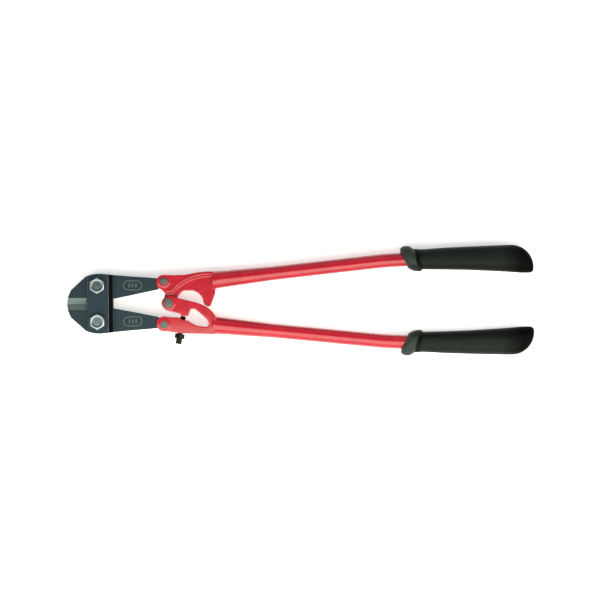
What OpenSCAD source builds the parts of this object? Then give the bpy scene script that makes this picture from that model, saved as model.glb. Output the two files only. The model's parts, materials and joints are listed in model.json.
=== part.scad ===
// Toggle-action bolt cutters. Two side plates carry the jaws, and two handles work them
// through link pins and a centre pin. All dimensions are in millimetres.
// X runs along the tool from the jaw tips to the grips, Y spreads the handles and +Z is up.
// Modules are drawn about the point midway between the two jaw pivots, on the tool's mid-plane,
// and placed() then moves them so that the origin is under the middle of the tool.

/* [Overall] */
// Length from the jaw tips to the ends of the grips
overall_length = 630; // [520:5:760]
// Distance of each grip's centre line from the tool's axis
grip_offset = 55.7; // [46:0.1:68]

/* [Head] */
// Distance between the two jaw pivots
pivot_spacing = 48.6; // [46:0.2:50]
// Radius of the rounded front of the head
head_radius = 44; // [43:0.5:46]
// Diameter of the jaw bolts
jaw_bolt_dia = 12; // [10:0.5:13]
// Width across the flats of the jaw bolts and their nuts
jaw_bolt_flats = 19; // [17:0.5:20]
// Thickness of the jaws between the side plates
jaw_thickness = 13; // [11:0.5:15]
// Thickness of each side plate
plate_thickness = 4.4; // [3.8:0.2:5.4]
// Thickness of the jaw tails behind the side plates
tail_thickness = 19; // [17:0.5:21]
// Width of the ground bevel beside each cutting edge
bevel_width = 7.8; // [6:0.2:9]

/* [Linkage] */
// Distance of the link pins behind the jaw pivots
link_pin_x = 90; // [88:0.5:92]
// Distance of each link pin from the tool's axis
link_pin_y = 29.5; // [29:0.1:29.7]
// Distance from each link pin to the centre pin
link_radius = 30; // [29.8:0.1:30.4]
// Diameter of the link pins
link_pin_dia = 8; // [7:0.5:9]
// Diameter of the centre pin
centre_pin_dia = 10; // [8:0.5:10.5]
// Thickness of the jaw tongues that enter the handles
tongue_thickness = 10; // [8:0.5:11]
// Thickness of the forged handle roots
forging_thickness = 22; // [21:0.5:25]
// Angle that each jaw opens
jaw_opening = 9; // [6:0.5:9]

/* [Handle tubes] */
// Outer diameter of the handle tubes
tube_dia = 19.1; // [18:0.1:21]
// Outer diameter of the flared front end of the tubes
tube_front_dia = 24; // [23:0.5:26]
// Wall thickness of the tubes
tube_wall = 1.8; // [1.5:0.1:2.4]
// Length of the flared stretch of the tubes
tube_taper_length = 79; // [60:1:100]
// Radius of the bend ahead of the grips
tube_bend_radius = 500; // [400:10:560]

/* [Grips] */
// Length of the grips
grip_length = 179; // [160:1:185]
// Width of the grips at the narrow neck behind the flange
grip_neck_width = 27.4; // [25:0.2:30]
// Width of the grips near their rear ends
grip_end_width = 36.6; // [34:0.2:38]
// Width of the flange at the front of the grips
grip_flange_width = 38.2; // [35:0.2:40]

/* [Adjusting screw] */
// Diameter of the adjusting screw
screw_dia = 8; // [6:0.5:8.5]
// Width across the flats of the adjusting screw's lock nut
screw_nut_flats = 13; // [11:0.5:14]
// Lean of the adjusting screw from the Y direction
screw_lean = 10.5; // [8:0.5:12]

/* [Hidden] */

// Fits
pin_clearance = 0.05;
side_gap = 0.1;
fork_gap = 0.2;
part_gap = 0.3;
shank_fit = 0.02;
slot_clearance = 0.25;

// Thickness stack of the head, which also sets the height of the tool's mid-plane
stack_half = jaw_thickness / 2 + side_gap + plate_thickness;
washer_thickness = 2.2;
nut_height = 5.6;
bolt_head_height = 7.5;
rest_height = stack_half + washer_thickness + nut_height;

// Head outline
head_centre = [2.5, -3.5];
head_top = head_centre[1] + head_radius;
nose_flat_angle = 132;
nose_flat_depth = 2;
jaw_reach = sqrt(pow(head_radius, 2) - pow(head_centre[1], 2)) - head_centre[0];
pivot_y = pivot_spacing / 2;
plate_front = -13;
plate_slope_x = 15;
plate_rear = 21;
plate_lip = 0.6;
shoulder_x = 24.6;
bevel_rear = -14.85;
edge_gap = 0.05;
edge_flat = 0.35;
heel_gap = 0.08;
nub_r = 3;
nub_clearance = 0.9;

// Linkage
link_a = [link_pin_x, link_pin_y];
link_b = [link_pin_x, -link_pin_y];
centre_pin_x = link_pin_x + sqrt(pow(link_radius, 2) - pow(link_pin_y, 2));
link_c = [centre_pin_x, 0];
forging_half = forging_thickness / 2;
fork_half = tongue_thickness / 2 + fork_gap;
web_half = 5.5;
web_fork_half = web_half + fork_gap;
lobe_r = 10.2;
lobe_centre = link_a + [-0.4, -1.5];
tongue_r = 7.9;
centre_tongue_r = 8;
centre_lobe_r = 10.6;
centre_lobe = link_c + [3.4, -0.8];
fork_depth = 10;
web_fork_depth = 14.5;
fork_mouth = 40;

// Travel of the centre pin inside the upper handle's slot, because the handles are geared to the
// jaws at one constant ratio that is exact when the tool is closed and when it is fully open
jaw_arm = norm([link_pin_x, link_pin_y - pivot_y]);
jaw_arm_angle = atan2(link_pin_y - pivot_y, link_pin_x);
link_angle = asin(link_pin_y / link_radius);
open_height = pivot_y + jaw_arm * sin(jaw_arm_angle - jaw_opening);
handle_opening = link_angle - asin(open_height / link_radius);
function link_height(t) = pivot_y + jaw_arm * sin(jaw_arm_angle - t * jaw_opening);
function pin_drift(t) = 2 * (link_radius * sin(link_angle - t * handle_opening) - link_height(t));
function slot_point(t) =
    link_c + abs(pin_drift(t)) * [sin(t * handle_opening), cos(t * handle_opening)];

// Handle tubes
root_length = 69.3;
tube_start = link_a + [root_length, 1.05];
lower_tube_start = [tube_start[0], -tube_start[1]];
collar_length = 4.5;
collar_dia = tube_front_dia + 0.6;
spigot_length = 26;
tool_end = overall_length - jaw_reach;
grip_start = tool_end - grip_length;
tube_end_x = tool_end - 24;

// The tube is straight from the root, then bends to run parallel to the tool's axis inside the grip.
// Each pass of slope_from() moves the corner between the two stretches by the bend's own length.
bend_end_x = grip_start + 15.6;
tube_rise = grip_offset - tube_start[1];
tube_run = bend_end_x - tube_start[0];
function slope_from(guess) = atan(tube_rise / (tube_run - tube_bend_radius * tan(guess / 2)));
handle_slope = slope_from(slope_from(slope_from(slope_from(0))));
bend_rise = tube_bend_radius * (1 - cos(handle_slope));
straight_length = (tube_rise - bend_rise) / sin(handle_slope);
joint_length = 2;
joint_step = 0.05;
crimp_x = 19;
crimp_r = 7;
crimp_depth = 0.9;

// Grips
flange_half_height = rest_height;
flange_slant = 24.3;
flange_x = grip_start + 16.4;
flange_shift = 1;
neck_x = grip_start + 29;
grip_middle_x = grip_start + 92;
belly_shift = 0.9;
butt_shift = 0.3;
heel_swell = 1.6;
heel_run = 20;
grip_bulge_x = tool_end - 36;
grip_outer_r = 30;
grip_inner_r = 5.4;
butt_steps = 8;
butt_round_z = 16;
grip_fn = 48;

// The butt's edge at x: straight, then an arc of radius r that ends at the tool's end
function butt_edge(x, edge_y, r, side) =
    let (along = x - (tool_end - r))
    along <= 0 ? edge_y : edge_y - side * (r - sqrt(max(pow(r, 2) - pow(along, 2), 0)));

// The butt's half height at x
function butt_height(x, full) =
    let (along = x - (tool_end - butt_round_z))
    along <= 0 ? full : 4 + (full - 4) * sqrt(max(1 - pow(along / butt_round_z, 2), 0));

// Adjusting screw, measured along its own axis from the tip
screw_tip = link_c + [19.75, -18];
screw_length = 38;
screw_nut_at = 24.2;
screw_nut_height = 6.2;
screw_square = 8;
screw_square_length = 7.5;
screw_core = 0.86 * screw_dia / 2;

smooth = 64;

// ---- Geometry helpers ----

function unit(v) = v / norm(v);
function turn(a, b) = let (d = b - a) d > 180 ? d - 360 : d < -180 ? d + 360 : d;
function arc(c, r, a0, a1, n) = [for (i = [0:n]) let (a = a0 + (a1 - a0) * i / n) c + r * [cos(a), sin(a)]];

// An outline point at an offset from p, with its corner radius
function pt(p, dx, dy, r = 0) = [p[0] + dx, p[1] + dy, r];

// The points of the arc that rounds corner q, between p and s, with radius r
function corner(p, q, s, r) =
    r == 0 ? [q] :
    let (d1 = unit(p - q), d2 = unit(s - q), half = acos(d1 * d2) / 2,
         reach = min(r / tan(half), 0.49 * min(norm(p - q), norm(s - q))),
         rr = reach * tan(half),
         c = q + unit(d1 + d2) * rr / sin(half),
         v1 = q + d1 * reach - c, v2 = q + d2 * reach - c,
         a1 = atan2(v1[1], v1[0]), a2 = atan2(v2[1], v2[0]))
    arc(c, rr, a1, a1 + turn(a1, a2), 6);

// A closed outline from [x, y, corner radius] points
function rounded(pts) = let (n = len(pts)) [
    for (i = [0:n - 1])
        let (p = pts[(i + n - 1) % n], q = pts[i], s = pts[(i + 1) % n])
        each corner([p[0], p[1]], [q[0], q[1]], [s[0], s[1]], q[2])
];

// A flat shape made into a slab that is centred on the mid-plane
module slab(thickness) {
    translate([0, 0, -thickness / 2]) linear_extrude(thickness) children();
}

// From the module's own frame to the tool's frame
module placed() {
    translate([jaw_reach - overall_length / 2, 0, rest_height]) children();
}

module at(p) {
    translate([p[0], p[1], 0]) children();
}

// A hexagon prism with chamfered ends, corners along Y
module hex_prism(flats, height) {
    corner_r = flats / 2 / cos(30);
    chamfer = (corner_r - flats / 2) * 0.7;
    intersection() {
        rotate([0, 0, 30]) cylinder(h = height, r = corner_r, $fn = 6);
        rotate_extrude($fn = smooth)
            polygon([[0, 0], [flats / 2 + 0.2, 0], [corner_r + 0.1, chamfer],
                     [corner_r + 0.1, height - chamfer], [flats / 2 + 0.2, height], [0, height]]);
    }
}

// ---- Head ----

// The upper half of the head, from the cutting line outwards
// The head's round outline with the straight corner of its nose
module head_disc_2d() {
    at(head_centre) difference() {
        circle(r = head_radius, $fn = 180);
        rotate(nose_flat_angle) translate([head_radius - nose_flat_depth, -20]) square([10, 40]);
    }
}

module head_half_2d() {
    intersection() {
        union() {
            head_disc_2d();
            polygon([[6, 0], [30, 0], [30, head_top - 2.6], [25.7, head_top - 2.2], [13.5, head_top - 0.85],
                     [6, head_top - 0.3]]);
        }
        translate([-60, 0]) square([120, 60]);
    }
}

module side_plate_2d() {
    difference() {
        intersection() {
            union() {
                head_half_2d();
                mirror([0, 1]) head_half_2d();
            }
            translate([plate_front, -50]) square([plate_rear - plate_front, 100]);
        }
        for (side = [-1, 1])
            translate([0, side * pivot_y]) circle(d = jaw_bolt_dia + 2 * pin_clearance, $fn = smooth);
        for (side = [-1, 1]) plate_corner(side);
    }
}

// The waste outside a plate's rounded rear corner
module plate_corner(side) {
    corner_r = 1.5;
    corner_y = head_top - 1.5;
    difference() {
        translate([plate_rear - corner_r, side > 0 ? corner_y - corner_r : -corner_y - 3])
            square([corner_r + 1, corner_r + 3]);
        translate([plate_rear - corner_r, side * (corner_y - corner_r)]) circle(r = corner_r, $fn = smooth);
    }
}

// A side plate on the upper face of the jaws, with a long slope on its outer side down to the rear edge
module side_plate() {
    color("slategray") translate([0, 0, jaw_thickness / 2 + side_gap]) difference() {
        linear_extrude(plate_thickness) side_plate_2d();
        rotate([90, 0, 0]) translate([0, 0, -60]) linear_extrude(120)
            polygon([[plate_slope_x, plate_thickness], [plate_rear, plate_lip], [plate_rear + 5, plate_lip],
                     [plate_rear + 5, plate_thickness + 5], [plate_slope_x, plate_thickness + 5]]);
    }
}

module front_side_plate() {
    placed() side_plate();
}

module back_side_plate() {
    placed() mirror([0, 0, 1]) side_plate();
}

// The part of a jaw between the side plates, with its rolling heel
module jaw_head_2d() {
    heel_r = pivot_y - heel_gap;
    throat = [-10.3, 0];
    throat_r = 2.4;
    difference() {
        union() {
            intersection() {
                head_half_2d();
                translate([-60, edge_gap]) square([60 + throat[0], 60]);
            }
            intersection() {
                head_half_2d();
                union() {
                    translate([throat[0] - 1, pivot_y - 10]) square([plate_rear + 12, 30]);
                    translate([0, pivot_y]) circle(r = heel_r, $fn = 128);
                }
            }
            polygon([[9, 2.2], [shoulder_x - 4, 6.3], [shoulder_x + 1, 7.3], [shoulder_x + 1, head_top - 2.3],
                     [9, head_top - 1.9]]);
        }
        at(throat) circle(r = throat_r, $fn = 32);
    }
}

// The tail of a jaw behind the side plates, up to the handle's fork
module jaw_tail_2d() {
    difference() {
        polygon(rounded([
            [shoulder_x, 7.1, 1], [46, 11.2, 30], pt(link_a, -11.7, -11.7, 10), pt(link_a, -9, -11, 1.5),
            pt(link_a, 2, -2.5), pt(link_a, 0, 3.3), pt(link_a, -20, 5.1, 30), [45.9, head_top - 4.1, 60],
            [shoulder_x, head_top - 2.1, 1]]));
        at(lobe_centre) circle(r = lobe_r + part_gap, $fn = smooth);
    }
}

module jaw_tongue_2d() {
    at(link_a) circle(r = tongue_r, $fn = smooth);
    polygon(rounded([
        pt(link_a, -18, -12), pt(link_a, -9.5, -10.7), pt(link_a, -4, -7.3), pt(link_a, 3, -5.5),
        pt(link_a, 3, 6.5), pt(link_a, -6, 4.1), pt(link_a, -18, 4.4)]));
}

// A ring-shaped raised rim round the tail's marking, which is three plain bars
module tail_rim() {
    rim_length = 26;
    rim_width = 13.5;
    rim_line = 1.3;
    rim_height = 0.6;
    bar_pitch = 4.6;
    at([link_pin_x - 42.3, pivot_y - 0.1]) translate([0, 0, tail_thickness / 2 - 0.2]) rotate([0, 0, -2]) {
        linear_extrude(rim_height + 0.2) difference() {
            oval_2d(rim_length, rim_width);
            oval_2d(rim_length - 2 * rim_line, rim_width - 2 * rim_line);
        }
        for (i = [-1:1])
            translate([i * bar_pitch - 0.9, -2.6, 0]) cube([1.8, 5.2, rim_height + 0.1]);
    }
}

module oval_2d(length, width) {
    polygon(concat(arc([(length - width) / 2, 0], width / 2, -90, 90, 12),
                   arc([-(length - width) / 2, 0], width / 2, 90, 270, 12)));
}

// The wedge that the ground bevels leave beside the cutting edge
module bevel_wedge() {
    half = jaw_thickness / 2;
    translate([-60, 0, 0]) rotate([90, 0, 90]) linear_extrude(60 + bevel_rear)
        polygon([[edge_gap, -edge_flat], [bevel_width, -half], [60, -half],
                 [60, half], [bevel_width, half], [edge_gap, edge_flat]]);
}

module jaw_body() {
    difference() {
        union() {
            intersection() {
                slab(jaw_thickness) jaw_head_2d();
                union() {
                    bevel_wedge();
                    translate([bevel_rear, -1, -20]) cube([120, 60, 40]);
                }
            }
            slab(tail_thickness) jaw_tail_2d();
            slab(tongue_thickness) jaw_tongue_2d();
            tail_rim();
        }
        translate([0, pivot_y, -20]) cylinder(h = 40, d = jaw_bolt_dia + 2 * pin_clearance + 0.02, $fn = smooth);
        at(link_a) translate([0, 0, -20]) cylinder(h = 40, d = link_pin_dia + 2 * pin_clearance, $fn = smooth);
    }
}

module upper_jaw() {
    color("darkslategray") placed() {
        jaw_body();
        slab(jaw_thickness) intersection() {
            circle(r = nub_r, $fn = 48);
            translate([-nub_r, -nub_r]) square([2 * nub_r, 2 * nub_r + 1]);
        }
    }
}

module lower_jaw() {
    color("slategray") placed() difference() {
        mirrored_jaw();
        translate([0, 0, -20]) cylinder(h = 40, r = nub_r + nub_clearance, $fn = 48);
    }
}

// The lower jaw is the upper one turned over, with its marking on the same side
module mirrored_jaw() {
    mirror([0, 1, 0]) jaw_body();
}

module jaw_bolt(side) {
    shank_end = rest_height - 0.4;
    color("silver") placed() translate([0, side * pivot_y, 0]) {
        translate([0, 0, stack_half]) hex_prism(jaw_bolt_flats, bolt_head_height);
        translate([0, 0, -shank_end]) cylinder(h = shank_end + stack_half + 1, d = jaw_bolt_dia, $fn = smooth);
    }
}

module upper_jaw_bolt() {
    jaw_bolt(1);
}

module lower_jaw_bolt() {
    jaw_bolt(-1);
}

// A split spring washer
module jaw_washer(side) {
    washer_dia = jaw_bolt_dia + 8;
    split = 1.2;
    color("dimgray") placed() translate([0, side * pivot_y, -stack_half - washer_thickness]) difference() {
        cylinder(h = washer_thickness, d = washer_dia, $fn = smooth);
        translate([0, 0, -1]) cylinder(h = washer_thickness + 2, d = jaw_bolt_dia + 2 * pin_clearance, $fn = smooth);
        rotate([0, 0, -90 * side]) translate([0, -split / 2, -1]) cube([washer_dia, split, washer_thickness + 2]);
    }
}

module upper_jaw_washer() {
    jaw_washer(1);
}

module lower_jaw_washer() {
    jaw_washer(-1);
}

module jaw_nut(side) {
    color("silver") placed() translate([0, side * pivot_y, -rest_height]) difference() {
        hex_prism(jaw_bolt_flats, nut_height);
        translate([0, 0, -1]) cylinder(h = nut_height + 2, d = jaw_bolt_dia + 2 * shank_fit, $fn = smooth);
    }
}

module upper_jaw_nut() {
    jaw_nut(1);
}

module lower_jaw_nut() {
    jaw_nut(-1);
}

// ---- Handle roots ----

// The collar and the spigot that carry the tube, along the tube's own axis
module tube_seat(side) {
    at([tube_start[0], side * tube_start[1]]) rotate([0, 90, side * handle_slope]) {
        translate([0, 0, -collar_length]) cylinder(h = collar_length, d = collar_dia, $fn = smooth);
        translate([0, 0, -0.5]) cylinder(h = spigot_length + 0.5,
            d1 = spigot_dia(0), d2 = spigot_dia(spigot_length), $fn = smooth);
    }
}

// The spigot's diameter at a distance along the flared tube
function spigot_dia(along) =
    tube_front_dia - 2 * tube_wall - 2 * shank_fit - (tube_front_dia - tube_dia) * along / tube_taper_length;

// The thick part of the upper root, from the link pin to the collar
module upper_root_2d() {
    at(lobe_centre) circle(r = lobe_r, $fn = smooth);
    collar_top = tube_front_dia / 2 - 0.35;
    polygon(rounded([
        pt(link_a, -6, -9.3), pt(link_c, -4.05, 13.4, 1.5), pt(link_c, 5.55, 13.4, 3), pt(link_c, 12.05, 19.8, 8),
        pt(link_a, 25.5, -3.5, 30), pt(link_a, 35, 1.5, 30), pt(tube_start, -24.8, 3.45, 30),
        pt(tube_start, -14.3, 5.25, 20), pt(tube_start, -3.3, 5.85), pt(tube_start, -3.3, collar_top),
        pt(tube_start, -10.3, collar_top, 30), pt(tube_start, -25.3, collar_top - 1.2, 30),
        pt(link_a, 29, 8.5, 30), pt(link_a, 14, 8.1, 30), pt(link_a, 0, 8.6), pt(link_a, -2, 3.5)]));
}

// The thin web, its stop leg and the tongue round the centre pin
module upper_web_2d() {
    at(link_c + [1, 0]) circle(r = centre_tongue_r, $fn = smooth);
    polygon(rounded([
        pt(link_c, -3.85, 14.5), pt(link_c, -6.6, 3), pt(link_c, -4, -2), pt(link_c, 8.5, 1),
        pt(link_c, 13.95, 9.8, 2), pt(link_c, 19.95, 16.5, 3.5), pt(link_c, 33.05, 16.5, 8),
        pt(link_c, 40.05, 13.6, 8), pt(link_c, 45.85, 7, 8), pt(link_c, 47.45, 0, 4),
        pt(link_c, 48.75, -2.9, 1.5), pt(link_c, 53.35, -5.5, 1), pt(link_c, 56.95, -4.8, 2),
        pt(link_c, 60.15, 3.4, 10), pt(tube_start, -0.3, -17.95, 10), pt(tube_start, 0, -11.55),
        pt(tube_start, -1.3, 9.45), pt(link_a, 30, 7.5), pt(link_a, 5, 6.5)]));
}

module upper_handle_forging() {
    slot_steps = 10;
    color("crimson") placed() difference() {
        union() {
            slab(forging_thickness) upper_root_2d();
            slab(2 * web_half) upper_web_2d();
            tube_seat(1);
        }
        // Fork for the jaw's tongue
        at(link_a + [-fork_mouth, -lobe_r - 0.6]) translate([0, 0, -fork_half])
            cube([fork_mouth + fork_depth, 40, 2 * fork_half]);
        at(link_a) translate([0, 0, -30]) cylinder(h = 60, d = link_pin_dia + 2 * pin_clearance, $fn = smooth);
        // Slot for the centre pin
        hull() for (i = [0:slot_steps])
            at(slot_point(i / slot_steps)) translate([0, 0, -30])
                cylinder(h = 60, d = centre_pin_dia + 2 * slot_clearance, $fn = 32);
        tube_clear(1);
    }
}

// Keeps the root's slabs out of the space that the tube takes
module tube_clear(side) {
    at([tube_start[0], side * tube_start[1]]) rotate([0, 90, side * handle_slope]) difference() {
        cylinder(h = 60, r = 40, $fn = smooth);
        translate([0, 0, -1]) cylinder(h = spigot_length + 1,
            d1 = spigot_dia(-1), d2 = spigot_dia(spigot_length), $fn = smooth);
    }
}

// The split lower root: the beam from the centre pin joins the beam from the link pin at the collar
module lower_root_2d() {
    difference() {
        union() {
            mirror([0, 1]) at(lobe_centre) circle(r = lobe_r, $fn = smooth);
            at(centre_lobe) circle(r = centre_lobe_r, $fn = smooth);
            polygon(rounded([
                pt(link_c, 2.55, 9.8), pt(link_c, 13.85, 6.6, 20), pt(link_c, 29.15, 2.6, 30),
                pt(link_c, 40.85, -0.4, 20), pt(link_c, 52.45, -5.9, 20), pt(link_c, 59.75, -12.2, 20),
                pt(lower_tube_start, 0.7, 11.05), pt(lower_tube_start, -1.3, -tube_front_dia / 2 - 0.05),
                pt(link_b, 23.8, -11.7, 40), pt(link_b, 7, -9.1, 20), pt(link_b, -1, -8.6),
                pt(link_b, -4, -0.5), pt(link_b, -0.5, 10.9), pt(link_b, 21.1, 9.7, 10), pt(link_b, 24, 7.1),
                pt(link_b, 30, 5.5), pt(link_c, 28.05, -17.9, 1.2), pt(link_c, 17.35, -17.9, 1.2),
                pt(link_c, 16.55, -14.9, 1), pt(link_c, 3.55, -11.3)]));
        }
        lower_window_2d();
    }
}

// The hand-shaped opening between the two beams
module lower_window_2d() {
    polygon(rounded([
        pt(link_c, 27.15, -16.5, 0.8), pt(link_c, 30.15, -8.4, 1.2), pt(link_c, 35.15, -7.8, 4),
        pt(link_c, 43.55, -14.6, 40), pt(link_c, 52.05, -22.6, 12), pt(link_c, 55.45, -29.4, 4),
        pt(link_c, 51.05, -32.8, 5), pt(link_c, 38.15, -30.8, 20), pt(link_c, 29.15, -26, 12),
        pt(link_c, 22.15, -21.2, 6), pt(link_c, 17.05, -19.4), pt(link_c, 17.05, -18), pt(link_c, 26.35, -18, 0.6)]));
}

module lower_handle_forging() {
    color("indianred") placed() difference() {
        union() {
            slab(forging_thickness) lower_root_2d();
            tube_seat(-1);
        }
        // Forks for the jaw's tongue and for the upper handle's tongue
        at(link_b + [-fork_mouth, -30]) translate([0, 0, -fork_half])
            cube([fork_mouth + fork_depth, 42, 2 * fork_half]);
        at(link_c + [-fork_mouth, -17.5]) translate([0, 0, -web_fork_half])
            cube([fork_mouth + web_fork_depth, 40, 2 * web_fork_half]);
        at(link_b) translate([0, 0, -30]) cylinder(h = 60, d = link_pin_dia + 2 * pin_clearance, $fn = smooth);
        at(link_c) translate([0, 0, -30]) cylinder(h = 60, d = centre_pin_dia + 2 * pin_clearance, $fn = smooth);
        screw_axis() translate([0, 0, -2]) cylinder(h = 60, d = screw_dia + 2 * pin_clearance, $fn = smooth);
        tube_clear(-1);
    }
}

// ---- Handle tubes ----

// A round bar of the tube's shape, shrunk all round by inset, up to end_x
module tube_bar(inset, end_x) {
    taper_front = tube_front_dia - 2 * inset;
    bar_dia = tube_dia - 2 * inset;
    at(tube_start) rotate([0, 90, handle_slope]) {
        cylinder(h = tube_taper_length, d1 = taper_front, d2 = bar_dia, $fn = smooth);
        translate([0, 0, tube_taper_length])
            cylinder(h = straight_length - tube_taper_length, d = bar_dia, $fn = smooth);
        // A low ring covers the joint with the bend
        translate([0, 0, straight_length - joint_length / 2])
            cylinder(h = joint_length, d = bar_dia + 2 * joint_step, $fn = smooth);
    }
    translate([bend_end_x, grip_offset - tube_bend_radius, 0]) rotate([0, 0, 90])
        rotate_extrude(angle = handle_slope, $fn = 360)
            translate([tube_bend_radius, 0]) circle(d = bar_dia, $fn = smooth);
    translate([bend_end_x, grip_offset, 0]) rotate([0, 90, 0])
        cylinder(h = end_x - bend_end_x, d = bar_dia, $fn = smooth);
}

module handle_tube() {
    color("crimson") difference() {
        tube_bar(0, tube_end_x);
        tube_bar(tube_wall, tube_end_x + 5);
        at(tube_start) rotate([0, 90, handle_slope]) translate([0, 0, -5])
            cylinder(h = 6, d = tube_front_dia - 2 * tube_wall, $fn = smooth);
        // Crimp that locks the tube to the root's spigot
        at(tube_start) rotate([0, 0, handle_slope])
            translate([crimp_x, (tube_front_dia - 1.5) / 2 + crimp_r - crimp_depth, 0]) sphere(r = crimp_r, $fn = 48);
    }
}

module upper_handle_tube() {
    placed() handle_tube();
}

module lower_handle_tube() {
    placed() mirror([0, 1, 0]) handle_tube();
}

// ---- Grips ----

// A thin oval slice across the grip, its middle moved out by shift
module grip_slice(x, half_width, half_height, shift = 0, slant = 0) {
    translate([x, grip_offset + shift, 0]) rotate([0, 0, slant]) rotate([0, 90, 0])
        scale([half_height, half_width, 1]) cylinder(h = 0.5, r = 1, center = true, $fn = grip_fn);
}

// A slice of the flange, lower than its crest by drop
module flange_slice(along, drop) {
    grip_slice(flange_x + along, grip_flange_width / 2 - drop, flange_half_height - drop,
        flange_shift, flange_slant);
}

module handle_grip() {
    neck = grip_neck_width / 2;
    bulge = grip_end_width / 2;
    color([0.16, 0.17, 0.15]) difference() {
        union() {
            // Flange that keeps the hand off the tube
            hull() {
                flange_slice(-12.4, 6.5);
                flange_slice(-9.5, 2.6);
                flange_slice(-4, 0);
                flange_slice(2.5, 0);
                flange_slice(6.5, 4);
            }
            hull() {
                flange_slice(6.5, 4);
                grip_slice(neck_x, neck, neck);
            }
            hull() {
                grip_slice(neck_x, neck, neck);
                grip_slice(grip_middle_x, neck + 2.3, neck + 0.6, belly_shift);
            }
            hull() {
                grip_slice(grip_middle_x, neck + 2.3, neck + 0.6, belly_shift);
                grip_slice(grip_bulge_x, bulge - 0.2, bulge - 2.7, butt_shift);
            }
            // Butt end, with a large curve on its outer side and a small one on its swollen inner side
            hull() for (i = [0:butt_steps]) {
                x = grip_bulge_x + (tool_end - 0.25 - grip_bulge_x) * sin(90 * i / butt_steps);
                swell = heel_swell * min((x - grip_bulge_x) / heel_run, 1);
                outer_y = butt_edge(x, grip_offset + butt_shift + bulge, grip_outer_r, 1);
                inner_y = butt_edge(x, grip_offset + butt_shift - bulge - swell, grip_inner_r, -1);
                grip_slice(x, (outer_y - inner_y) / 2, butt_height(x, bulge - 2.7),
                    (outer_y + inner_y) / 2 - grip_offset);
            }
        }
        tube_bar(0, tube_end_x);
    }
}

module upper_grip() {
    placed() handle_grip();
}

module lower_grip() {
    placed() mirror([0, 1, 0]) handle_grip();
}

// ---- Pins ----

ring_thickness = 1.2;
ring_groove = 0.6;
pin_tail = 1.2;

// A low-headed pin with a groove for its retaining ring
module headed_pin(dia, head_r, head_height) {
    groove_bottom = forging_half + 0.1 + ring_thickness;
    color("dimgray") difference() {
        union() {
            translate([0, 0, -groove_bottom - pin_tail])
                cylinder(h = groove_bottom + pin_tail + forging_half, d = dia, $fn = smooth);
            translate([0, 0, forging_half]) rotate_extrude($fn = smooth)
                polygon([[0, 0], [head_r, 0], [head_r, head_height - 0.4], [head_r - 0.6, head_height], [0, head_height]]);
        }
        translate([0, 0, -groove_bottom]) difference() {
            cylinder(h = ring_thickness, d = dia + 1, $fn = smooth);
            translate([0, 0, -1]) cylinder(h = ring_thickness + 2, d = dia - 2 * ring_groove, $fn = smooth);
        }
    }
}

// An external retaining ring, open on one side
module pin_ring(dia) {
    ring_r = dia / 2 + 2.4;
    mouth = 0.62 * dia;
    color("gray") translate([0, 0, -forging_half - 0.1 - ring_thickness]) difference() {
        cylinder(h = ring_thickness, r = ring_r, $fn = smooth);
        translate([0, 0, -1]) cylinder(h = ring_thickness + 2, d = dia - 2 * ring_groove + 0.02, $fn = smooth);
        translate([0, -mouth / 2, -1]) cube([ring_r + 1, mouth, ring_thickness + 2]);
    }
}

module upper_link_pin() {
    placed() at(link_a) headed_pin(link_pin_dia, link_pin_dia / 2 + 1.2, 1.4);
}

module lower_link_pin() {
    placed() at(link_b) headed_pin(link_pin_dia, link_pin_dia / 2 + 1.2, 1.4);
}

module centre_pin() {
    placed() at(link_c) headed_pin(centre_pin_dia, centre_pin_dia / 2 + 1.5, 1.6);
}

module upper_pin_ring() {
    placed() at(link_a) pin_ring(link_pin_dia);
}

module lower_pin_ring() {
    placed() at(link_b) pin_ring(link_pin_dia);
}

module centre_pin_ring() {
    placed() at(link_c) pin_ring(centre_pin_dia);
}

// ---- Adjusting screw ----

// The screw's own axis: local +Z runs from the tip towards the head
module screw_axis() {
    at(screw_tip) rotate([90, 0, -screw_lean]) children();
}

module adjusting_screw() {
    nose = 1.2;
    color([0.2, 0.21, 0.18]) placed() screw_axis() {
        translate([0, 0, 0.1]) cylinder(h = nose, r1 = screw_core - 0.6, r2 = screw_dia / 2, $fn = smooth);
        translate([0, 0, 0.1 + nose])
            cylinder(h = screw_length - screw_square_length - nose - 0.1, d = screw_dia, $fn = smooth);
        translate([-screw_square / 2, -screw_square / 2, screw_length - screw_square_length])
            cube([screw_square, screw_square, screw_square_length]);
    }
}

module screw_lock_nut() {
    color([0.2, 0.21, 0.18]) placed() screw_axis() translate([0, 0, screw_nut_at]) difference() {
        hex_prism(screw_nut_flats, screw_nut_height);
        translate([0, 0, -1]) cylinder(h = screw_nut_height + 2, d = screw_dia + 2 * pin_clearance, $fn = smooth);
    }
}

front_side_plate();
back_side_plate();
upper_jaw();
lower_jaw();
upper_jaw_bolt();
lower_jaw_bolt();
upper_jaw_washer();
lower_jaw_washer();
upper_jaw_nut();
lower_jaw_nut();
upper_handle_forging();
lower_handle_forging();
upper_handle_tube();
lower_handle_tube();
upper_grip();
lower_grip();
upper_link_pin();
lower_link_pin();
centre_pin();
upper_pin_ring();
lower_pin_ring();
centre_pin_ring();
adjusting_screw();
screw_lock_nut();
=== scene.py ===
"""Looks of the bolt cutters: forged, machined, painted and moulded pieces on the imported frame, in a plain studio.

Lengths are written in millimetres and become metres through MM. The tool lies on the floor, its jaws towards -X,
its grips towards +X, and its pivots stand along +Z.
"""

import json
import math

import bmesh
import bpy
from mathutils import Matrix, Vector


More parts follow.
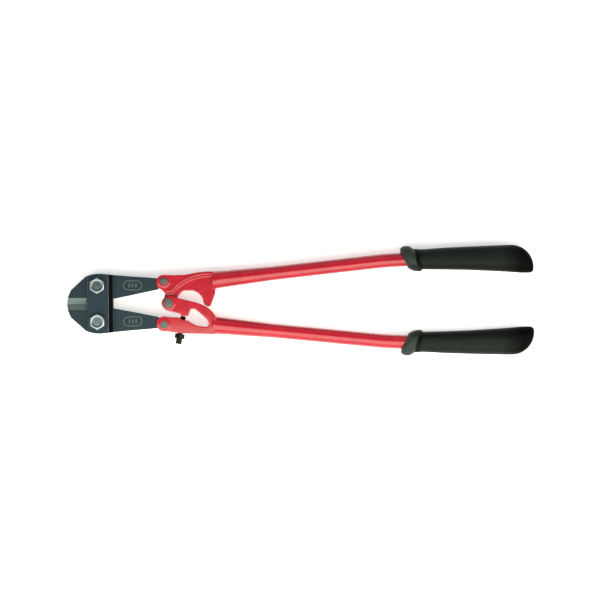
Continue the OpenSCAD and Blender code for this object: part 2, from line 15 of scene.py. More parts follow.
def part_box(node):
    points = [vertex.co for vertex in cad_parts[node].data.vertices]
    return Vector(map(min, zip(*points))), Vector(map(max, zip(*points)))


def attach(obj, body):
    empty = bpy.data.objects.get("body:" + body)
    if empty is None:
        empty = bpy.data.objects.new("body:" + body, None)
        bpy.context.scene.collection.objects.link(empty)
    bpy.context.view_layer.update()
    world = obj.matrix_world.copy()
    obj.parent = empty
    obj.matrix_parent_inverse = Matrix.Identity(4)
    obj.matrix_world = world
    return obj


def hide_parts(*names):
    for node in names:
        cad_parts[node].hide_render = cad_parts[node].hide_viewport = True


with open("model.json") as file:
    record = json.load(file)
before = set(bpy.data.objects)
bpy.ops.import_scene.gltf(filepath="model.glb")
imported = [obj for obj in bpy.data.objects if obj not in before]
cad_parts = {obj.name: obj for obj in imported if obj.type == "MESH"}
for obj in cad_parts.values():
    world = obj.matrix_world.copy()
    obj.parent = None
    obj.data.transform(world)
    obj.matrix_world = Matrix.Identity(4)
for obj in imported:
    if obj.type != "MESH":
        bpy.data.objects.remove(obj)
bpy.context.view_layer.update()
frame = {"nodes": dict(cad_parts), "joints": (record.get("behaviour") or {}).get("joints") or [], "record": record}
MM = 0.001


nodes = frame["nodes"]
joints = {j["name"]: j for j in frame["joints"]}
record_bodies = frame["record"]["behaviour"]["bodies"]
body_of = {n: b for b, members in record_bodies.items() for n in members}


# ---- Places, from the frame ----


def centre_of(node):
    low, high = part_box(node)
    return (low + high) / 2


jaw_pivot = Vector(joints["upper_jaw_pivot"]["pos_m"])
link_a = Vector(joints["upper_handle_link"]["pos_m"])
link_b = Vector(joints["lower_handle_link"]["pos_m"])
link_c = centre_of("centre_pin")
mid_z = jaw_pivot.z
tool_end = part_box("upper_grip")[1].x
grip_length = 179 * MM
grip_start = tool_end - grip_length
tube_front, tube_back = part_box("upper_handle_tube")
tube_radius_back = 9.55 * MM
grip_axis = tube_back.y - tube_radius_back
crease_y = grip_axis - 7.2 * MM
groove_x = grip_start + 23.2 * MM
groove_slope = 0.23
groove_half = 2.4 * MM
pin_head_height = 1.4 * MM
forging_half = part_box("upper_link_pin")[1].z - pin_head_height - mid_z


# ---- Mesh helpers ----


def new_object(name, mesh):
    obj = bpy.data.objects.new(name, mesh)
    bpy.context.scene.collection.objects.link(obj)
    return obj


def mesh_from(name, bm):
    mesh = bpy.data.meshes.new(name)
    bmesh.ops.recalc_face_normals(bm, faces=bm.faces)
    bm.to_mesh(mesh)
    bm.free()
    mesh.shade_smooth()
    return mesh


def stand_for(node, obj, material):
    """obj takes the place of a CAD node and moves with its body."""
    obj.data.materials.clear()
    obj.data.materials.append(material)
    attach(obj, body_of[node])
    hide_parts(node)
    return obj


def turns_of(sides):
    """The angles of a ring's points."""
    return [2 * math.pi * k / sides for k in range(sides)]


def across_path(path, i):
    """The level direction square to a path at its point i."""
    ahead = path[min(i + 1, len(path) - 1)] - path[max(i - 1, 0)]
    return Vector((-ahead.y, ahead.x, 0)).normalized()


def loft(bm, rings, close_ends=True):
    """Joins rings of points, each with the same count, into a skin."""
    made = [[bm.verts.new(p) for p in ring] for ring in rings]
    count = len(made[0])
    for near, far in zip(made, made[1:]):
        for i in range(count):
            j = (i + 1) % count
            bm.faces.new((near[i], near[j], far[j], far[i]))
    if close_ends:
        bm.faces.new(made[0][::-1])
        bm.faces.new(made[-1])
    return made


def modified(obj):
    """Replaces obj's mesh with the result of its modifiers."""
    graph = bpy.context.evaluated_depsgraph_get()
    result = bpy.data.meshes.new_from_object(obj.evaluated_get(graph))
    obj.modifiers.clear()
    old = obj.data
    obj.data = result
    bpy.data.meshes.remove(old)
    obj.data.shade_smooth()
    return obj


def sweep(bm, path, radius_y, radius_z, sides=16):
    """A closed bead with an oval section along a path in the XY plane."""
    rings = []
    for i, p in enumerate(path):
        across = across_path(path, i)
        taper = 1.0 if 0 < i < len(path) - 1 else 0.35
        ring = []
        for turn in turns_of(sides):
            offset = across * math.cos(turn) * radius_y + Vector((0, 0, 1)) * math.sin(turn) * radius_z
            ring.append(p + offset * taper)
        rings.append(ring)
    loft(bm, rings)


def smooth_path(points, steps=8):
    """A Catmull-Rom curve through the points."""
    ends = [2 * points[0] - points[1]] + points + [2 * points[-1] - points[-2]]
    path = []
    for i in range(1, len(ends) - 2):
        p0, p1, p2, p3 = ends[i - 1 : i + 3]
        for k in range(steps):
            t = k / steps
            path.append(
                0.5
                * (
                    2 * p1
                    + (p2 - p0) * t
                    + (2 * p0 - 5 * p1 + 4 * p2 - p3) * t**2
                    + (3 * p1 - p0 - 3 * p2 + p3) * t**3
                )
            )
    path.append(points[-1])
    return path


def disc(bm, centre, radius, low, high, bore=0.0, chamfer=0.3 * MM, sides=64):
    """A round boss with a chamfered top, with or without a bore."""
    profile = [(bore, low), (radius, low), (radius, high - chamfer), (radius - chamfer, high), (bore, high)]
    rings = []
    for r, z in profile + ([profile[0]] if bore else []):
        r = max(r, 1e-6)
        ring = [Vector((centre.x + r * math.cos(a), centre.y + r * math.sin(a), z)) for a in turns_of(sides)]
        rings.append(ring)
    loft(bm, rings, close_ends=not bore)
    bmesh.ops.remove_doubles(bm, verts=bm.verts, dist=1e-6)


# ---- Materials ----


class Shader:
    """A Principled material and the few node chains that the pieces share."""

    def __init__(self, name, metallic=0.0, coat=0.0, coat_roughness=0.1, specular=0.5):
        self.material = bpy.data.materials.new(name)
        self.material.use_nodes = True
        self.tree = self.material.node_tree
        self.bsdf = self.tree.nodes["Principled BSDF"]
        self.bsdf.inputs["Metallic"].default_value = metallic
        self.bsdf.inputs["Coat Weight"].default_value = coat
        self.bsdf.inputs["Coat Roughness"].default_value = coat_roughness
        self.bsdf.inputs["Specular IOR Level"].default_value = specular
        self.place = self.tree.nodes.new("ShaderNodeTexCoord").outputs["Object"]
        self.heights = []

    def node(self, kind, **settings):
        made = self.tree.nodes.new(kind)
        for key, value in settings.items():
            setattr(made, key, value)
        return made

    def link(self, a, b):
        self.tree.links.new(a, b)

    def noise(self, size, detail=4.0, roughness=0.55, stretch=(1, 1, 1), distortion=0.0):
        """Noise whose features are about size millimetres across."""
        mapping = self.node("ShaderNodeMapping")
        mapping.inputs["Scale"].default_value = stretch
        self.link(self.place, mapping.inputs["Vector"])
        noise = self.node("ShaderNodeTexNoise")
        noise.inputs["Scale"].default_value = 1 / (size * MM)
        noise.inputs["Detail"].default_value = detail
        noise.inputs["Roughness"].default_value = roughness
        noise.inputs["Distortion"].default_value = distortion
        self.link(mapping.outputs["Vector"], noise.inputs["Vector"])
        return noise.outputs["Fac"]

    def ramp(self, value, *stops):
        ramp = self.node("ShaderNodeValToRGB")
        elements = ramp.color_ramp.elements
        while len(elements) < len(stops):
            elements.new(0.5)
        for element, (place, colour) in zip(elements, stops):
            element.position = place
            grey = not hasattr(colour, "__len__")
            element.color = (colour, colour, colour, 1) if grey else (*colour, 1)
        self.link(value, ramp.inputs["Fac"])
        return ramp.outputs["Color"]

    def spread(self, value, low, high, to_low, to_high):
        """Maps a value's range onto another."""
        mapped = self.node("ShaderNodeMapRange")
        for key, number in zip(("From Min", "From Max", "To Min", "To Max"), (low, high, to_low, to_high)):
            mapped.inputs[key].default_value = number
        self.link(value, mapped.inputs["Value"])
        return mapped.outputs["Result"]

    def mix(self, factor, a, b):
        mixed = self.node("ShaderNodeMix", data_type="RGBA")
        self.link(factor, mixed.inputs["Factor"])
        self.link(a, mixed.inputs["A"])
        self.link(b, mixed.inputs["B"])
        return mixed.outputs["Result"]

    def blend_value(self, factor, a, b):
        mixed = self.node("ShaderNodeMix", data_type="FLOAT")
        self.link(factor, mixed.inputs["Factor"])
        self.link(a, mixed.inputs["A"])
        self.link(b, mixed.inputs["B"])
        return mixed.outputs["Result"]

    def math(self, operation, a, b=None):
        made = self.node("ShaderNodeMath", operation=operation)
        for socket, value in zip(made.inputs, (a, b)):
            if value is None:
                continue
            if isinstance(value, (int, float)):
                socket.default_value = value
            else:
                self.link(value, socket)
        return made.outputs["Value"]

    def colour(self, socket):
        self.link(socket, self.bsdf.inputs["Base Color"])

    def roughness(self, socket):
        self.link(socket, self.bsdf.inputs["Roughness"])

    def specular(self, socket):
        self.link(socket, self.bsdf.inputs["Specular IOR Level"])

    def bump(self, height, distance, strength=1.0):
        """Adds a bump of the given depth in millimetres on top of the ones before."""
        bump = self.node("ShaderNodeBump")
        bump.inputs["Distance"].default_value = distance * MM
        bump.inputs["Strength"].default_value = strength
        self.link(height, bump.inputs["Height"])
        if self.heights:
            self.link(self.heights[-1], bump.inputs["Normal"])
        self.heights.append(bump.outputs["Normal"])
        self.link(bump.outputs["Normal"], self.bsdf.inputs["Normal"])


def red_paint(name, cast):
    """Crimson enamel; on the forgings the rough casting skin shows through it."""
    shader = Shader(name, coat=1.0, coat_roughness=0.09 + 0.02 * cast, specular=0.12)
    tone = shader.noise(22 - 14 * cast, detail=5)
    red = shader.ramp(tone, (0.3, (0.335, 0.0018, 0.012)), (0.7, (0.435, 0.0045, 0.022)))
    chips = shader.spread(shader.noise(2.2, detail=8, roughness=0.7), 0.72, 0.75, 0, 0.8)
    primer = shader.ramp(tone, (0.0, (0.16, 0.02, 0.025)), (1.0, (0.10, 0.035, 0.04)))
    shader.colour(shader.mix(chips, red, primer))
    sheen = shader.noise(6, detail=5)
    shader.roughness(shader.spread(sheen, 0.3, 0.7, 0.22 + 0.14 * cast, 0.33 + 0.15 * cast))
    shader.bump(shader.noise(2.4, detail=1), 0.008 + 0.04 * cast)
    if cast:
        shader.bump(shader.noise(6, detail=4), 0.16)
    return shader.material


def dark_steel(name, blue, bevel=None, raised=None, painted_shade_from=None):
    """Blue-grey oxide coat with fine mottling and rubbed marks.

    bevel is (x, y): in front of x and within y of the axis the steel is ground bare. Higher than raised above the
    mid-plane, the coat is rubbed lighter. Behind the last argument's x the coat is painted near-black and dull:
    painted shade on the plate's sloped rear face, which faces away from the light.
    """
    shader = Shader(name, metallic=0.25, specular=0.2)
    mottle = shader.noise(2.0, detail=8, roughness=0.62)
    cloud = shader.noise(24, detail=3)
    coat = shader.mix(
        cloud,
        shader.ramp(mottle, (0.3, (0.007, 0.017, 0.024 * blue)), (0.7, (0.016, 0.034, 0.045 * blue))),
        shader.ramp(mottle, (0.3, (0.011, 0.025, 0.033 * blue)), (0.7, (0.023, 0.045, 0.058 * blue))),
    )
    rubbed = shader.spread(shader.noise(0.45, detail=6, stretch=(0.12, 1, 1)), 0.66, 0.76, 0, 0.55)
    bare = shader.ramp(cloud, (0.0, (0.07, 0.095, 0.098)), (1.0, (0.11, 0.14, 0.14)))
    coat = shader.mix(rubbed, coat, bare)
    rough = shader.spread(mottle, 0.3, 0.7, 0.40, 0.56)
    split = shader.node("ShaderNodeSeparateXYZ")
    shader.link(shader.place, split.inputs["Vector"])
    if raised:
        top = shader.math("GREATER_THAN", shader.math("SUBTRACT", split.outputs["Z"], mid_z), raised)
        rubbed_top = shader.ramp(cloud, (0.3, (0.070, 0.100, 0.096)), (0.7, (0.085, 0.115, 0.109)))
        coat = shader.mix(top, coat, rubbed_top)
    # Painted shade: behind this x the plate's sloped rear face is painted near-black, and its sheen is cut
    if painted_shade_from:
        behind = shader.math("GREATER_THAN", split.outputs["X"], painted_shade_from)
        black = shader.ramp(mottle, (0.3, (0.001, 0.0015, 0.0015)), (0.7, (0.004, 0.005, 0.005)))
        coat = shader.mix(behind, coat, black)
        shader.specular(shader.spread(behind, 0, 1, 0.2, 0.03))
        rough = shader.blend_value(behind, rough, shader.spread(mottle, 0.3, 0.7, 0.55, 0.7))
    if bevel:
        ahead = shader.math("LESS_THAN", split.outputs["X"], bevel[0])
        beside = shader.math("LESS_THAN", shader.math("ABSOLUTE", split.outputs["Y"]), bevel[1])
        ground = shader.math("MULTIPLY", ahead, beside)
        lines = shader.noise(0.5, detail=3, stretch=(1, 0.04, 1))
        steel = shader.ramp(lines, (0.3, (0.110, 0.155, 0.162)), (0.7, (0.165, 0.220, 0.222)))
        coat = shader.mix(ground, coat, steel)
        rough = shader.blend_value(ground, rough, shader.spread(lines, 0.3, 0.7, 0.34, 0.46))
    shader.colour(coat)
    shader.roughness(rough)
    shader.bump(mottle, 0.04)
    return shader.material


def rubbed_and_highlit_edge(name):
    """The oxide coat rubbed thin along the edges and painted lighter there: partly wear, partly a painted
    highlight.
    """
    shader = Shader(name, metallic=0.4, specular=0.35)
    wear = shader.noise(3.5, detail=7, roughness=0.65)
    # Lighter where the coat is rubbed thin, and also as a painted highlight along the edges
    shader.colour(shader.ramp(wear, (0.42, (0.050, 0.078, 0.084)), (0.62, (0.16, 0.20, 0.195))))
    shader.roughness(shader.spread(wear, 0.3, 0.7, 0.46, 0.34))
    return shader.material


def plated_steel(name, dark, light, rough=(0.2, 0.34), rim=None):
    """Bright plated steel with faint turned rings and handling marks.

    rim is (place, radius): around the place and its mirror image the steel is painted brighter beyond the radius, a
    painted highlight on the rim of the bolt heads.
    """
    shader = Shader(name, metallic=1.0)
    cloud = shader.noise(5, detail=5)
    scratches = shader.noise(0.8, detail=4, stretch=(1, 0.1, 1), distortion=0.3)
    colour = shader.ramp(cloud, (0.3, dark), (0.7, light))
    # Painted highlight: beyond the radius the bolt heads' rim is painted brighter
    if rim:
        place, radius = rim
        split = shader.node("ShaderNodeSeparateXYZ")
        shader.link(shader.place, split.inputs["Vector"])
        along = shader.math("SUBTRACT", split.outputs["X"], place.x)
        beside = shader.math("SUBTRACT", shader.math("ABSOLUTE", split.outputs["Y"]), place.y)
        squares = [shader.math("MULTIPLY", side, side) for side in (along, beside)]
        reach = shader.math("SQRT", shader.math("ADD", *squares))
        outside = shader.spread(reach, radius, radius + 0.5 * MM, 0, 1)
        rim_highlight = shader.ramp(cloud, (0.0, (0.28, 0.34, 0.36)), (1.0, (0.43, 0.49, 0.50)))
        colour = shader.mix(outside, colour, rim_highlight)
    shader.colour(colour)
    shader.roughness(shader.spread(scratches, 0.3, 0.7, *rough))
    shader.bump(scratches, 0.003)
    return shader.material


def black_oxide(name):
    shader = Shader(name, metallic=0.2, specular=0.15)
    cloud = shader.noise(3, detail=6)
    shader.colour(shader.ramp(cloud, (0.3, (0.003, 0.004, 0.0025)), (0.7, (0.008, 0.010, 0.006))))
    shader.roughness(shader.spread(cloud, 0.3, 0.7, 0.36, 0.52))
    shader.bump(shader.noise(0.8), 0.02)
    return shader.material


def moulded_grip(name):
    """Black-green vinyl with a fine stipple and faint flow marks.

    The flange is paler; the groove behind it, the strip on the finger side and the butt are painted blacker as
    painted shade.
    """
    shader = Shader(name)
    flow = shader.noise(30, detail=4, stretch=(0.35, 1, 1))
    stipple = shader.noise(0.55, detail=2, roughness=0.4)
    dust = shader.spread(shader.noise(1.1, detail=7, roughness=0.75), 0.66, 0.78, 0, 0.35)
    vinyl = shader.ramp(flow, (0.3, (0.0042, 0.0068, 0.0058)), (0.7, (0.0080, 0.0128, 0.0110)))
    pale = shader.ramp(flow, (0.0, (0.035, 0.042, 0.035)), (1.0, (0.05, 0.056, 0.048)))
    split = shader.node("ShaderNodeSeparateXYZ")
    shader.link(shader.place, split.inputs["Vector"])
    # Painted shade: the butt is painted black and its sheen cut, where it slopes away from the light
    painted_butt_shade = shader.spread(split.outputs["X"], tool_end - 46 * MM, tool_end - 16 * MM, 0, 0.85)
    black = shader.ramp(flow, (0.0, (0.0012, 0.0011, 0.0011)), (1.0, (0.0024, 0.0022, 0.0021)))
    shader.specular(shader.spread(painted_butt_shade, 0, 0.85, 0.11, 0.02))
    from_axis = shader.math("SUBTRACT", shader.math("ABSOLUTE", split.outputs["Y"]), grip_axis)
    behind_groove = shader.math("SUBTRACT", split.outputs["X"], groove_x)
    away = shader.math("ADD", behind_groove, shader.math("MULTIPLY", from_axis, groove_slope))
    # The flange, in front of the groove, is paler
    flange_paler = shader.spread(away, -4 * MM, -1.5 * MM, 0.85, 0)
    # Painted shade in the groove behind the flange and on the stepped-down strip on the finger side
    painted_groove_shade = shader.spread(shader.math("ABSOLUTE", away), 2.4 * MM, 4.2 * MM, 0.9, 0)
    strip = shader.spread(from_axis, crease_y - grip_axis - 1 * MM, crease_y - grip_axis + 0.5 * MM, 0.6, 0)
    flange_pale_colour = shader.ramp(flow, (0.3, (0.020, 0.032, 0.026)), (0.7, (0.032, 0.047, 0.039)))
    vinyl = shader.mix(flange_paler, vinyl, flange_pale_colour)
    vinyl = shader.mix(shader.math("MAXIMUM", painted_groove_shade, strip), shader.mix(dust, vinyl, pale), black)
    shader.colour(shader.mix(painted_butt_shade, vinyl, black))
    shader.roughness(shader.spread(flow, 0.3, 0.7, 0.44, 0.58))
    shader.bump(stipple, 0.07)
    return shader.material


pivot_x = jaw_pivot.x
paint_forged = red_paint("red_enamel_on_forging", 1)
paint_tube = red_paint("red_enamel_on_tube", 0)
jaw_coat = dark_steel("jaw_oxide", 1.0, bevel=(pivot_x - 14.8 * MM, 7.9 * MM), raised=9.7 * MM)
plate_coat = dark_steel("plate_oxide", 1.12, painted_shade_from=pivot_x + 15.3 * MM)
edge_wear_and_highlight = rubbed_and_highlit_edge("rubbed_edges_and_painted_highlight")
bolt_plate = plated_steel(
    "bolt_plating_painted_rim_highlight", (0.070, 0.100, 0.112), (0.130, 0.165, 0.176), (0.24, 0.38), rim=(jaw_pivot, 7.2 * MM)
)
nut_plate = plated_steel("zinc_plating", (0.16, 0.20, 0.21), (0.27, 0.32, 0.32), (0.24, 0.38))
washer_plate = plated_steel("spring_steel", (0.20, 0.21, 0.21), (0.33, 0.35, 0.34), (0.3, 0.45))
pin_finish = plated_steel("pin_steel", (0.075, 0.095, 0.084), (0.135, 0.160, 0.148), (0.3, 0.44))
screw_black = black_oxide("black_oxide")
grip_vinyl = moulded_grip("grip_vinyl")


# ---- Carried-over CAD pieces: edges broken as a machinist or a die would leave them ----


def dress(node, material, edge, segments=3, angle=28, wear_and_highlight=None):
    """Cleans a CAD piece's facets and breaks its edges; the last argument is the material of the broken edges,
    their wear and painted highlight.
    """
    obj = nodes[node]
    obj.data.materials.clear()
    obj.data.materials.append(material)
    if wear_and_highlight:
        obj.data.materials.append(wear_and_highlight)
    weld = obj.modifiers.new("Weld", "WELD")
    weld.merge_threshold = 0.004 * MM
    flatten = obj.modifiers.new("Flatten", "DECIMATE")
    flatten.decimate_type = "DISSOLVE"
    flatten.angle_limit = math.radians(0.8)
    bevel = obj.modifiers.new("Edges", "BEVEL")
    bevel.width = edge * MM
    bevel.segments = segments
    bevel.limit_method = "ANGLE"
    bevel.angle_limit = math.radians(angle)
    bevel.harden_normals = True
    bevel.material = 1 if wear_and_highlight else -1
    weighted = obj.modifiers.new("Normals", "WEIGHTED_NORMAL")
    weighted.keep_sharp = True
    return obj


for plate in ("front_side_plate", "back_side_plate"):
    dress(plate, plate_coat, 0.6, wear_and_highlight=edge_wear_and_highlight)
for side in ("upper", "lower"):
    dress(side + "_jaw", jaw_coat, 0.6, wear_and_highlight=edge_wear_and_highlight)
    dress(side + "_jaw_nut", nut_plate, 0.3)
    dress(side + "_jaw_washer", washer_plate, 0.25)
    dress(side + "_link_pin", pin_finish, 0.3)
    dress(side + "_pin_ring", washer_plate, 0.15)
dress("centre_pin", pin_finish, 0.35)
dress("centre_pin_ring", washer_plate, 0.15)
dress("screw_lock_nut", screw_black, 0.3)


# ---- Forged handle roots ----

rib_height = forging_half - 0.2 * MM


def offset_point(origin, dx, dy):
    return Vector((origin.x + dx * MM, origin.y + dy * MM, 0))


def forge(node, additions, voxel=0.55, passes=6, keep=0.4):
    """A copy of a CAD root with its additions melted in and its edges rounded as by a die."""
    bm = bmesh.new()
    bm.from_mesh(nodes[node].data)
    for add in additions:
        add(bm)
    obj = new_object(node + "_forged", mesh_from(node + "_forged", bm))
    remesh = obj.modifiers.new("Remesh", "REMESH")
    remesh.mode = "VOXEL"
    remesh.voxel_size = voxel * MM
    smooth = obj.modifiers.new("Round", "SMOOTH")
    smooth.factor = 0.5
    smooth.iterations = passes
    thin = obj.modifiers.new("Thin", "DECIMATE")
    thin.ratio = keep
    return stand_for(node, modified(obj), paint_forged)


def ribs(points, gap=3.1, bead=0.78):
    """Twin beads on both faces of the root, along the edge of its thick part."""

    def add(bm):
        path = smooth_path(points)
        for face in (1, -1):
            level = mid_z + face * rib_height
            for side in (-0.5, 0.5):
                line = []
                for i, p in enumerate(path):
                    line.append(p + across_path(path, i) * side * gap * MM + Vector((0, 0, level)))
                sweep(bm, line, bead * MM, 0.95 * MM)

    return add


def boss(centre, radius, bore):
    def add(bm):
        face = mid_z + forging_half
        disc(bm, centre, radius * MM, face - 2.5 * MM, face + 0.45 * MM, bore * MM)

    return add


collar = Vector((tube_front.x, link_a.y + 1.05 * MM, 0))
step_line = [
    offset_point(link_c, -2.2, 14.9),
    offset_point(link_c, 5.0, 14.9),
    offset_point(link_c, 11.0, 21.0),
    offset_point(link_a, 24.6, -2.2),
    offset_point(link_a, 34.4, 2.9),
    offset_point(collar, -24.9, 4.9),
    offset_point(collar, -14.4, 6.7),
    offset_point(collar, -5.5, 7.2),
]
forge("upper_handle_forging", [ribs(step_line), boss(link_a, 7.9, 4.05)])
forge("lower_handle_forging", [boss(link_b, 7.9, 4.05), boss(link_c, 8.9, 5.05)])


# ---- Handle tubes ----

tube_radius_front = 12.0 * MM
tube_taper = 79 * MM
tube_wall = 1.8 * MM
bend_r = 500 * MM
bend_end = grip_start + 15.6 * MM
tube_start = Vector((tube_front.x, link_a.y + 1.05 * MM))


def tube_path():
    """(point, angle, distance) along the upper tube's axis: a straight run, a bend and a straight end."""
    start, end_x, line_y = tube_start, tube_back.x, grip_axis
    slope = 0.0
    for _ in range(4):
        slope = math.atan((line_y - start.y) / (bend_end - start.x - bend_r * math.tan(slope / 2)))
    straight = (line_y - start.y - bend_r * (1 - math.cos(slope))) / math.sin(slope)
    steps = []
    for i in range(61):
        along = straight * i / 60
        steps.append((start + along * Vector((math.cos(slope), math.sin(slope))), slope, along))
    for i in range(1, 17):
        turn = slope * (1 - i / 16)
        x = bend_end - bend_r * math.sin(turn)
        y = line_y - bend_r * (1 - math.cos(turn))
        steps.append((Vector((x, y)), turn, straight + bend_r * (slope - turn)))
    for i in range(1, 9):
        x = bend_end + (end_x - bend_end) * i / 8
        steps.append((Vector((x, line_y)), 0.0, straight + bend_r * slope + x - bend_end))
    return steps


def tube_radius(along, inset):
    t = min(along / tube_taper, 1.0)
    return tube_radius_front + (tube_radius_back - tube_radius_front) * t - inset


def crimp(along, turn):
    """How far the crimp that locks the tube to its root pushes the wall in."""
    reach = math.hypot((along - 19 * MM) / (4.2 * MM), math.atan2(math.sin(turn), math.cos(turn)) / 0.42)
    return 0.85 * MM * max(0.0, 1 - reach**2) ** 1.2


def handle_tube(node, side):
    """side is 1 for the upper tube and -1 for the lower one, its mirror image."""
    sides = 72
    path = tube_path()
    first, slope, _ = path[0]
    ahead = Vector((math.cos(slope), math.sin(slope)))
    # Close rings over the first 40 mm, where the crimp is
    fine = [i * 0.6 * MM for i in range(int(40 / 0.6))]
    near = [(first + a * ahead, slope, a) for a in fine]
    stations = near + [step for step in path if step[2] > fine[-1] + 1 * MM]

    def ring(step, inset, dented):
        point, angle, along = step
        across = Vector((-math.sin(angle), math.cos(angle), 0))
        result = []
        for turn in turns_of(sides):
            r = tube_radius(along, inset) - (crimp(along, turn) if dented else 0)
            p = Vector((point.x, point.y, mid_z)) + across * r * math.cos(turn)
            result.append(Vector((p.x, side * p.y, p.z + r * math.sin(turn))))
        return result

    edge = 0.35 * MM
    outer = [ring(s, 0, True) for s in stations]
    outer[0] = ring(stations[0], edge, False)
    outer.insert(1, ring((first + edge * ahead, slope, edge), 0, True))
    inner = [ring(s, tube_wall, False) for s in stations]
    bm = bmesh.new()
    loop = outer + inner[::-1] + [outer[0]]
    loft(bm, loop, close_ends=False)
    bmesh.ops.remove_doubles(bm, verts=bm.verts, dist=1e-7)
    obj = new_object(node + "_drawn", mesh_from(node + "_drawn", bm))
    stand_for(node, obj, paint_tube)


handle_tube("upper_handle_tube", 1)
handle_tube("lower_handle_tube", -1)


# ---- Moulded grips ----

body_start = grip_start + 29 * MM
flange_x = grip_start + 16.4 * MM
flange_slant = math.radians(24.3)
flange_half_z = mid_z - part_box("upper_grip")[0].z
neck_half = 13.7 * MM
butt_outer_r = 30 * MM
butt_inner_r = 5.4 * MM
butt_round = 25 * MM


def clamp01(value):
    return min(max(value, 0.0), 1.0)


def grip_limits(x):
    """(outer edge, inner edge, half height) of the hand-hold at x, for the upper grip."""
    stops = [
        (body_start, neck_half, neck_half, neck_half),
        (grip_start + 60 * MM, neck_half + 1.9 * MM, neck_half + 0.5 * MM, neck_half + 0.3 * MM),
        (grip_start + 92 * MM, 16.9 * MM, 15.1 * MM, neck_half + 0.6 * MM),
        (tool_end - 36 * MM, 18.5 * MM, 17.9 * MM, 15.5 * MM),
    ]
    if x <= stops[0][0]:
        out, into, high = stops[0][1:]
    elif x >= stops[-1][0]:
        out, into, high = stops[-1][1:]
    else:
        far = next(i for i, stop in enumerate(stops) if x < stop[0])
        t = (x - stops[far - 1][0]) / (stops[far][0] - stops[far - 1][0])
        out, into, high = (a + (b - a) * t for a, b in zip(stops[far - 1][1:], stops[far][1:]))
    into += 1.6 * MM * clamp01((x - (tool_end - 36 * MM)) / (20 * MM))
    outer, inner = grip_axis + out, grip_axis - into
    past = x - (tool_end - butt_outer_r)
    if past > 0:
        outer -= butt_outer_r - math.sqrt(max(butt_outer_r**2 - past**2, 0))
    past = x - (tool_end - butt_inner_r)
    if past > 0:
        inner += butt_inner_r - math.sqrt(max(butt_inner_r**2 - past**2, 0))
    past = x - (tool_end - butt_round)
    if past > 0:
        high = 3.5 * MM + (high - 3.5 * MM) * math.sqrt(max(1 - (past / butt_round) ** 2, 0))
    return outer, inner, high


def grip_point(x, turn):
    """A point on the hand-hold's skin: a soft square section, creased and stepped down on the finger side."""
    outer, inner, high = grip_limits(x)
    power = 2.0 / 2.3
    c, s = math.cos(turn), math.sin(turn)
    y = (outer + inner) / 2 + (outer - inner) / 2 * math.copysign(abs(c) ** power, c)
    z = high * math.copysign(abs(s) ** power, s)
    fade = clamp01((x - body_start) / (5 * MM)) * clamp01((tool_end - 20 * MM - x) / (12 * MM))
    groove = math.exp(-(((y - crease_y) / (0.9 * MM)) ** 2))
    strip = 1 / (1 + math.exp((y - crease_y) / (0.6 * MM)))
    depth = fade * (0.8 * MM * groove + 1.0 * MM * strip) * min(abs(z) / (6 * MM), 1)
    return Vector((x, y, mid_z + z - math.copysign(depth, z)))


def flange_ring(offset, drop, sides):
    """A slanted ring of the flange, offset along X from its middle; drop is its height over the crest."""
    lift = 1 * MM * max(0.0, 1 + drop / (8.1 * MM))
    middle = Vector((flange_x, grip_axis + lift, mid_z))
    half_y, half_z = 19.05 * MM + drop, flange_half_z - 0.03 * MM + drop * 1.03
    across = Vector((-math.sin(flange_slant), math.cos(flange_slant), 0))
    ring = []
    for turn in turns_of(sides):
        y, z = half_y * math.cos(turn), half_z * math.sin(turn)
        ring.append(middle + across * y + Vector((offset, 0, z)))
    return ring


def grip_rings(sides):
    # The flange, from its front face round the crest to its rear slope: (distance along X, height over the crest)
    front = [(-10.6, -8.1), (-11.7, -7.7), (-12.3, -6.7), (-11.9, -5.3), (-10.8, -3.7), (-9.3, -2.4)]
    crest = [(-7.3, -1.25), (-5.3, -0.5), (-3.3, -0.12), (-1.2, 0), (0.8, -0.04), (2.3, -0.33)]
    rear = [(3.6, -1.0), (4.7, -1.9), (5.7, -2.9), (6.5, -3.9)]
    rings = [flange_ring(a * MM, d * MM, sides) for a, d in front + crest + rear]
    last = rings[-1]
    first = [grip_point(body_start, turn) for turn in turns_of(sides)]
    # The valley between the flange and the hand-hold
    steps = 22
    for i in range(1, steps + 1):
        t = i / steps
        ring = []
        for near, far in zip(last, first):
            ring.append(near.lerp(far, t))
        rings.append(ring)
    body = 84
    for i in range(1, body + 1):
        t = i / body
        eased = t if t < 0.8 else 0.8 + 0.2 * math.sin((t - 0.8) / 0.2 * math.pi / 2)
        x = body_start + (tool_end - 0.06 * MM - body_start) * eased
        rings.append([grip_point(x, turn) for turn in turns_of(sides)])
    # The slanted groove behind the flange, across both faces
    for ring in rings:
        for p in ring:
            rise = p.z - mid_z
            away = p.x - groove_x + (p.y - grip_axis) * groove_slope
            face = clamp01((abs(rise) / neck_half - 0.35) / 0.45)
            p.z -= math.copysign(1.9 * MM * math.exp(-((away / groove_half) ** 2)) * face, rise)
    return rings


